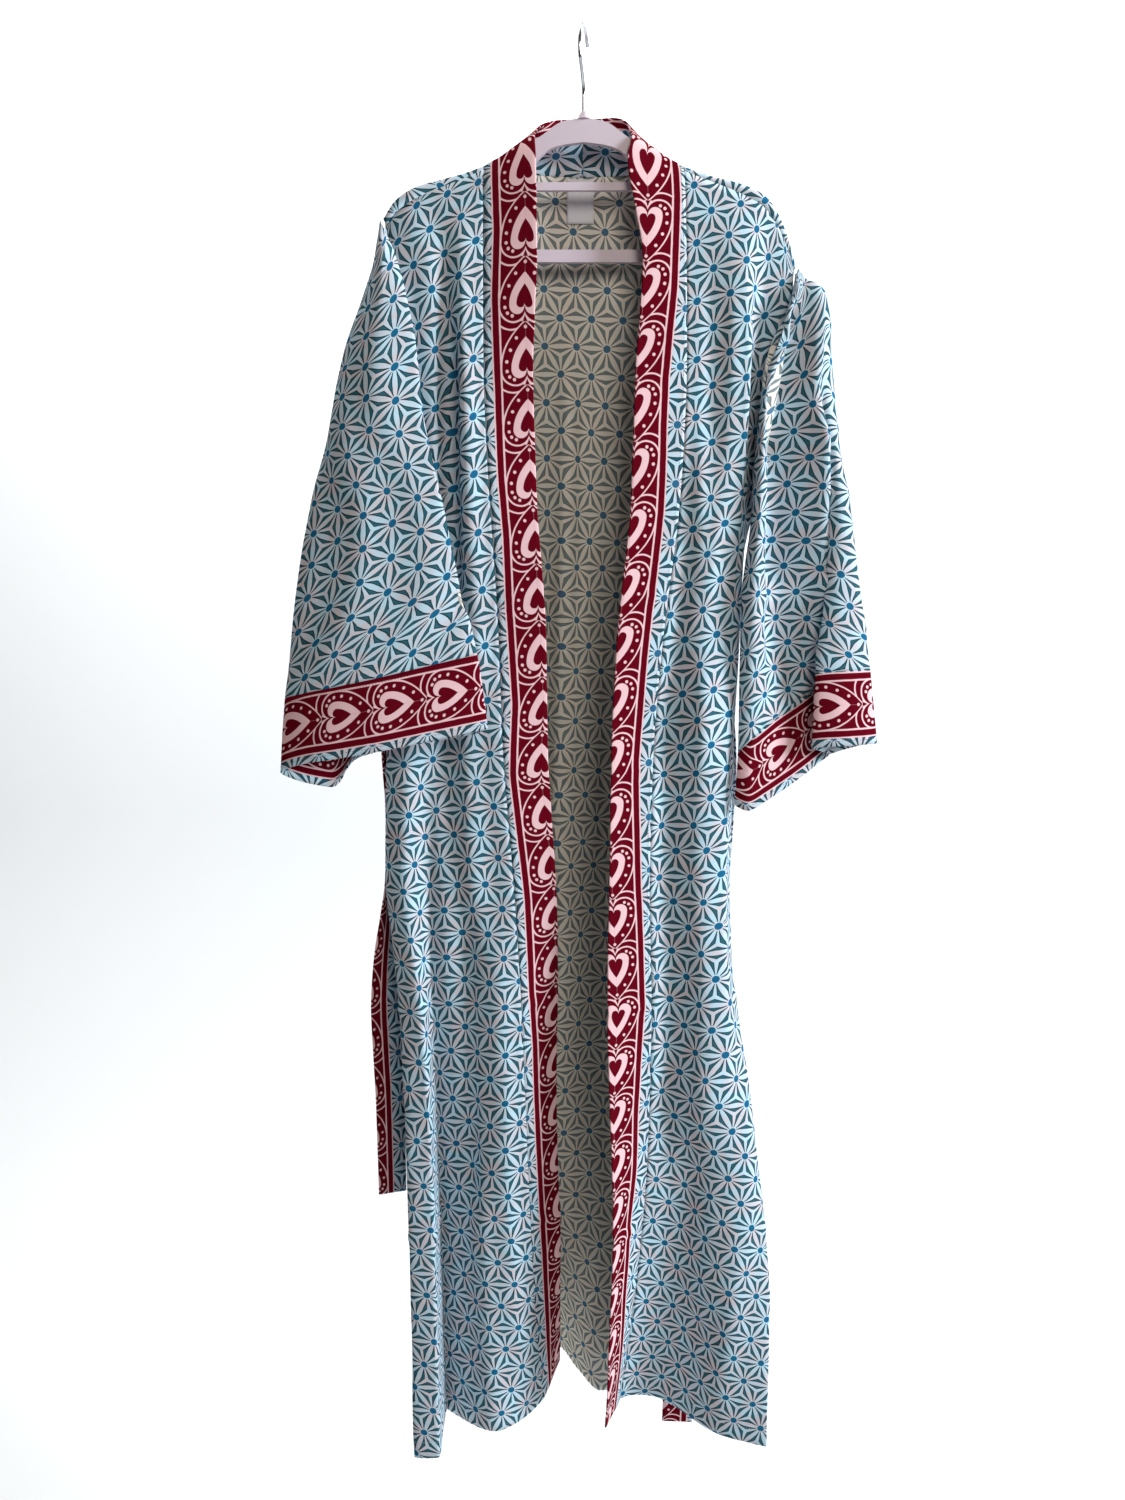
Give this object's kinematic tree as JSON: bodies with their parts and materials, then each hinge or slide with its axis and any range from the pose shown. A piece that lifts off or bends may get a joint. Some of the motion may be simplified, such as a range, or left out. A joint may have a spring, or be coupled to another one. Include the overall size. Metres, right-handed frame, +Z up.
{
  "type": "kimono robe on a hanger",
  "caption": "Open full-length cotton kimono robe with a small teal lattice print, red border bands and cuffs and a tie belt, hung on a pale plastic hanger with a wire hook",
  "frame": {"origin": "inside top of the hanger's hook, where the rod bears", "axes": "+Z up, -Y out of the robe's front towards the viewer, +X towards the wearer's left"},
  "size_m": [0.5687, 0.2028, 1.5019],
  "materials": {
    "printed_cotton": "matte",
    "border_cotton": "matte",
    "label_cotton": "matte",
    "moulding": "satin",
    "wire": "polished"
  },
  "bodies": {
    "root": {"back": "printed_cotton", "front_right": "printed_cotton", "front_left": "printed_cotton", "band_right": "border_cotton", "band_left": "border_cotton", "sleeve_right": "printed_cotton", "sleeve_left": "printed_cotton", "cuff_right": "border_cotton", "cuff_left": "border_cotton", "belt_loop_right": "border_cotton", "belt_loop_left": "border_cotton", "belt": "border_cotton", "neck_label": "label_cotton", "hanger": "moulding", "hook": "wire"}
  },
  "joints": []
}
